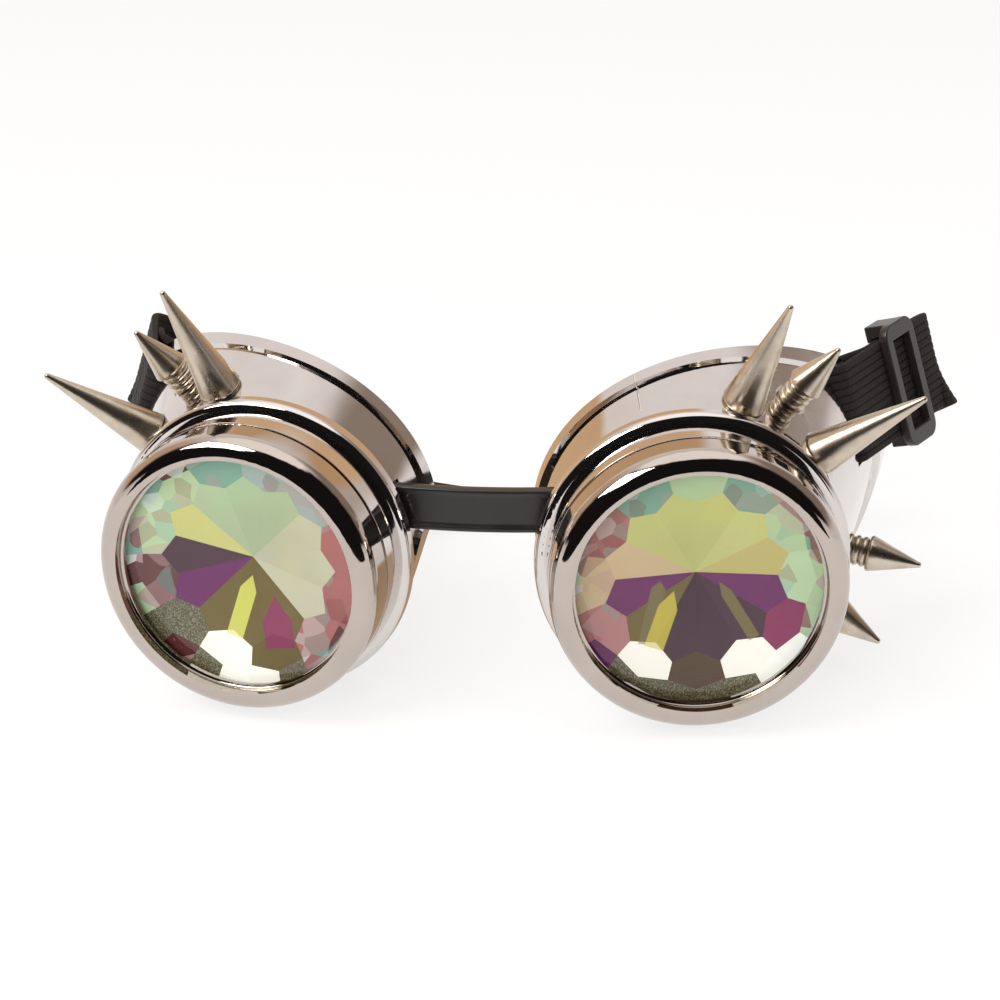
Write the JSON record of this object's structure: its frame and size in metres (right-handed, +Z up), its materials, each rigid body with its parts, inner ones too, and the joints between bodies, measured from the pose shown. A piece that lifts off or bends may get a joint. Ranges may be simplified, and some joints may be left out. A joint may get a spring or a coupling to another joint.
{
  "type": "steampunk goggles",
  "caption": "Chrome-plated spiked goggles with screw-on lens rings, faceted crystal lenses, a flexible nose bridge and an elastic head strap with a sliding buckle.",
  "frame": {"origin": "on the table, straight below the middle of the nose bridge", "axes": "+X to the viewer's right along the two cups, +Y from the lenses towards the wearer, +Z up"},
  "size_m": [0.1775, 0.1236, 0.0808],
  "materials": {
    "plated_shell": "chrome-plated moulding, mirror bright",
    "plated_ring": "chrome-plated moulding, mirror bright",
    "slip_washer": "smooth",
    "lens_gasket": "smooth",
    "crystal": "polished facets with an iridescent coating",
    "spike_nickel": "polished nickel plate",
    "screw_steel": "plain",
    "bridge_vinyl": "glossy vinyl",
    "elastic": "ribbed woven elastic",
    "buckle_plastic": "satin moulded"
  },
  "bodies": {
    "left_cup": {"eyecup_left": "plated_shell", "lens_gasket_left": "lens_gasket", "crystal_lens_left": "crystal", "long_spikes_left": "spike_nickel", "short_spikes_left": "spike_nickel", "spike_stacks_left": "spike_nickel", "spike_screws_left": "screw_steel", "strap_left": "elastic", "strap_rear": "elastic", "bridge_strip": "bridge_vinyl"},
    "right_cup": {"eyecup_right": "plated_shell", "lens_gasket_right": "lens_gasket", "crystal_lens_right": "crystal", "long_spikes_right": "spike_nickel", "short_spikes_right": "spike_nickel", "spike_stacks_right": "spike_nickel", "spike_screws_right": "screw_steel", "strap_right": "elastic"},
    "left_washer": {"slip_washer_left": "slip_washer"},
    "right_washer": {"slip_washer_right": "slip_washer"},
    "left_ring": {"lens_ring_left": "plated_ring"},
    "right_ring": {"lens_ring_right": "plated_ring"},
    "buckle": {"strap_buckle": "buckle_plastic"}
  },
  "joints": [
    {"name": "bridge_flex", "type": "hinge", "parent": "left_cup", "child": "right_cup", "pos_m": [0, 0, 0.0389], "axis": [0, 0, 1], "range_deg": [-20, 20], "stiffness_Nm_per_rad": 0.02, "deforming": ["bridge_strip", "strap_rear"]},
    {"name": "right_ring_travel", "type": "slide", "parent": "right_cup", "child": "right_washer", "axis": [0.1599, -0.9871, 0], "range_m": [0, 0.0045]},
    {"name": "right_ring_turn", "type": "hinge", "parent": "right_washer", "child": "right_ring", "pos_m": [0.04385, -0.01469, 0.0302], "axis": [0.1599, -0.9871, 0], "range_deg": [0, 540]},
    {"name": "left_ring_travel", "type": "slide", "parent": "left_cup", "child": "left_washer", "axis": [-0.1599, -0.9871, 0], "range_m": [0, 0.0045]},
    {"name": "left_ring_turn", "type": "hinge", "parent": "left_washer", "child": "left_ring", "pos_m": [-0.04385, -0.01469, 0.0302], "axis": [-0.1599, -0.9871, 0], "range_deg": [0, 540]},
    {"name": "buckle_slide", "type": "slide", "parent": "right_cup", "child": "buckle", "axis": [0.4384, 0.8988, 0], "range_m": [0, 0.008]}
  ],
  "couplings": [
    {"joint": "right_ring_travel", "follows": "right_ring_turn", "m_per_rad": 0.00047746},
    {"joint": "left_ring_travel", "follows": "left_ring_turn", "m_per_rad": 0.00047746}
  ]
}
